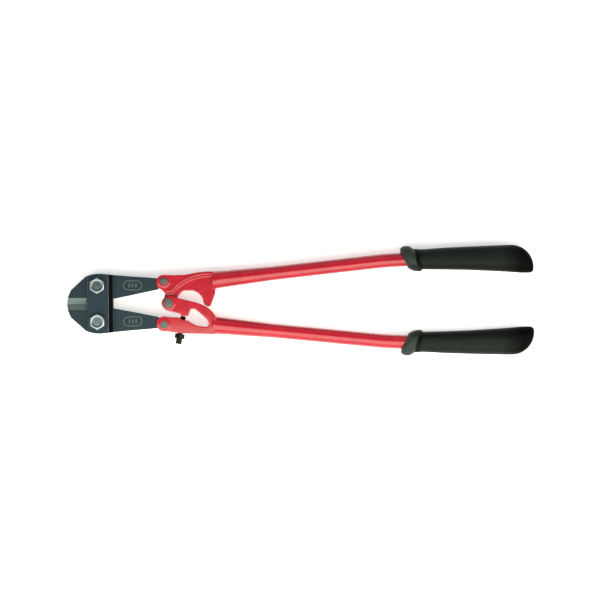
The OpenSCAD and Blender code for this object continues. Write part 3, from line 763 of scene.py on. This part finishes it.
def handle_grip(node, side):
    sides = 96

    def bore(x):
        r = tube_radius_back
        return [Vector((x, grip_axis + r * math.cos(a), mid_z + r * math.sin(a))) for a in turns_of(sides)]

    bm = bmesh.new()
    made = loft(bm, grip_rings(sides), close_ends=False)
    # Butt end, filled by rings that shrink to the middle so that it keeps a rounded crown
    rim = made[-1]
    centre = sum((v.co for v in rim), Vector()) / len(rim)
    crown = Vector((0.05 * MM, 0, 0))
    for shrink in (0.6, 0.25):
        inner = [bm.verts.new(centre + (v.co - centre) * shrink + crown * (1 - shrink)) for v in made[-1]]
        for i in range(sides):
            j = (i + 1) % sides
            bm.faces.new((rim[i], rim[j], inner[j], inner[i]))
        rim = inner
    bm.faces.new(rim)
    # Bore for the tube
    hole = loft(bm, [bore(tube_back.x), bore(grip_start + 30 * MM)], close_ends=False)
    bm.faces.new(hole[0])
    for i in range(sides):
        j = (i + 1) % sides
        bm.faces.new((made[0][i], hole[-1][i], hole[-1][j], made[0][j]))
    if side < 0:
        for v in bm.verts:
            v.co.y = -v.co.y
    obj = new_object(node + "_moulded", mesh_from(node + "_moulded", bm))
    stand_for(node, obj, grip_vinyl)


handle_grip("upper_grip", 1)
handle_grip("lower_grip", -1)


# ---- Jaw bolts ----


def hexagon_reach(turn, flats):
    """Distance from the centre to a hexagon's side, its corners along Y."""
    return flats / 2 / math.cos(math.radians((math.degrees(turn) - 90) % 60 - 30))


def jaw_bolt(node):
    """A hexagon bolt with a turned, dished head and a threaded end."""
    low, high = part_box(node)
    centre = centre_of(node)
    flats = high.x - low.x
    crown = flats / 2 * 0.93
    shank = 6.0 * MM
    under = high.z - 7.5 * MM
    sides = 96

    def ring(z, reach):
        x, y = centre.x, centre.y
        return [Vector((x + reach(a) * math.cos(a), y + reach(a) * math.sin(a), z)) for a in turns_of(sides)]

    def turned(z):
        return lambda a: min(hexagon_reach(a, flats), crown + (high.z - 0.25 * MM - z) * 1.55)

    def round_to(radius):
        return lambda a: radius

    pitch, thread_depth, thread_length = 1.75 * MM, 0.75 * MM, 11 * MM
    rings = [ring(low.z, round_to(shank - 0.9 * MM))]
    z = low.z + 0.8 * MM
    while z < low.z + thread_length:
        phase = ((z - low.z) / pitch) % 1.0
        rings.append(ring(z, round_to(shank - thread_depth * abs(2 * phase - 1))))
        z += pitch / 4
    rings.append(ring(z, round_to(shank)))
    rings.append(ring(under, round_to(shank)))
    rings.append(ring(under, lambda a: hexagon_reach(a, flats) - 0.3 * MM))
    rings.append(ring(under + 0.3 * MM, lambda a: hexagon_reach(a, flats)))
    steps = [2.2, 1.8, 1.5, 1.25, 1.0, 0.75, 0.5, 0.25]
    rings += [ring(high.z - d * MM, turned(high.z - d * MM)) for d in steps]
    # (distance in from the crown's rim, depth below the top)
    dish = [(0.0, 0.06), (0.35, 0.0), (0.9, 0.0), (1.25, 0.12), (1.7, 0.5), (2.3, 0.66), (3.6, 0.68), (6.2, 0.62)]
    rings += [ring(high.z - depth * MM, round_to(crown - inward * MM)) for inward, depth in dish]
    bm = bmesh.new()
    loft(bm, rings)
    obj = new_object(node + "_turned", mesh_from(node + "_turned", bm))
    obj.data.set_sharp_from_angle(angle=math.radians(40))
    stand_for(node, obj, bolt_plate)


jaw_bolt("upper_jaw_bolt")
jaw_bolt("lower_jaw_bolt")


# ---- Adjusting screw ----


def threaded_rod(bm, radius, pitch, depth, start, end, sides=40, per_pitch=8):
    """Rings of a screw thread along local Z; the thread fades out at both ends."""
    count = int((end - start) / pitch * per_pitch)
    tip = 0.62 * radius
    rings = [[Vector((tip * math.cos(turn), tip * math.sin(turn), start)) for turn in turns_of(sides)]]
    for i in range(count + 1):
        z = start + (end - start) * i / count
        ring = []
        for k, turn in enumerate(turns_of(sides)):
            phase = (z / pitch - k / sides) % 1.0
            wave = abs(2 * phase - 1)
            lead = min((z - start) / (1.2 * pitch), 1.0)
            r = radius - depth * (1 - min(max((wave - 0.12) / 0.76, 0), 1)) - depth * (1 - lead)
            ring.append(Vector((r * math.cos(turn), r * math.sin(turn), z)))
        rings.append(ring)
    loft(bm, rings)


def square_head(bm, size, start, end):
    """The screw's square end, its corners turned down at the top."""
    half, cut = size / 2, 0.9 * MM
    per_side = 8
    levels = [(start, 0.15), (start + 0.4 * MM, 0.0), (end - cut, 0.0), (end - cut * 0.4, 0.35), (end, 1.0)]
    rings = []
    for z, cone in levels:
        ring = []
        for side in range(4):
            for i in range(per_side):
                t = -1 + 2 * i / per_side
                x, y = Matrix.Rotation(side * math.pi / 2, 2) @ Vector((half, half * t))
                reach = math.hypot(x, y)
                limit = half * 1.32 - cone * 0.42 * half
                scale = min(1.0, limit / reach)
                ring.append(Vector((x * scale, y * scale, z)))
        rings.append(ring)
    loft(bm, rings)


screw_joint = joints["adjusting_screw_turn"]
screw_axis = Vector(screw_joint["axis"]).normalized()
screw_tip = Vector(screw_joint["pos_m"])
bm = bmesh.new()
threaded_rod(bm, 4 * MM, 1.25 * MM, 0.72 * MM, 0.1 * MM, 30.8 * MM)
square_head(bm, 8 * MM, 30.5 * MM, 38 * MM)
across = screw_axis.cross(Vector((0, 0, 1))).normalized()
basis = Matrix((across, screw_axis.cross(across), screw_axis)).transposed().to_4x4()
bm.transform(Matrix.Translation(screw_tip) @ basis)
screw = new_object("adjusting_screw_cut", mesh_from("adjusting_screw_cut", bm))
stand_for("adjusting_screw", screw, screw_black)


# ---- Studio ----


def area_light(name, place, aim, size, watts, colour=(1, 1, 1)):
    data = bpy.data.lights.new(name, "AREA")
    data.shape = "RECTANGLE"
    data.size, data.size_y = size
    data.energy = watts
    data.color = colour
    obj = bpy.data.objects.new(name, data)
    obj.location = place
    obj.rotation_euler = (Vector(aim) - Vector(place)).to_track_quat("-Z", "Y").to_euler()
    obj.visible_camera = False
    bpy.context.scene.collection.objects.link(obj)


def floor():
    shader = Shader("pale_floor", specular=0.2)
    tone = shader.noise(60, detail=2)
    shader.colour(shader.ramp(tone, (0.0, (0.86, 0.86, 0.855)), (1.0, (0.88, 0.88, 0.875))))
    shader.roughness(shader.spread(tone, 0.3, 0.7, 0.75, 0.8))
    shader.bsdf.inputs["Emission Color"].default_value = (1, 1, 1, 1)
    shader.bsdf.inputs["Emission Strength"].default_value = 0.5
    bm = bmesh.new()
    bmesh.ops.create_grid(bm, x_segments=2, y_segments=2, size=3.0)
    mesh = mesh_from("floor", bm)
    mesh.materials.append(shader.material)
    obj = new_object("floor", mesh)


floor()
world = bpy.data.worlds.new("studio")
world.use_nodes = True
world.node_tree.nodes["Background"].inputs["Color"].default_value = (0.95, 0.98, 1.0, 1)
world.node_tree.nodes["Background"].inputs["Strength"].default_value = 0.3
bpy.context.scene.world = world
# The key ends 34 mm short of the axis, so only the half of the tool on its side mirrors it up to the camera
area_light("key_over_front", (0.0, -0.486, 0.62), (0.0, -0.485, 0), (1.9, 0.904), 19, (1, 0.95, 0.80))
area_light("front", (0.0, -1.5, 0.5), (0, 0, 0), (2.0, 0.6), 4, (1, 0.97, 0.92))
area_light("rear", (0.0, 1.4, 0.9), (0, 0, 0), (2.0, 0.7), 1.6)
area_light("right", (1.5, -0.2, 0.8), (0, 0, 0), (0.6, 0.6), 6)

camera_height = 4.0
frame_width = 0.810
camera = bpy.data.cameras.new("camera")
camera.sensor_width = 36
camera.lens = 36 * camera_height / frame_width
holder = bpy.data.objects.new("camera", camera)
holder.location = (-0.0006, 0.0024, mid_z + camera_height)
holder.rotation_euler = (0, 0, math.radians(-0.55))
bpy.context.scene.collection.objects.link(holder)
bpy.context.scene.camera = holder
bpy.context.scene.view_settings.view_transform = "Standard"
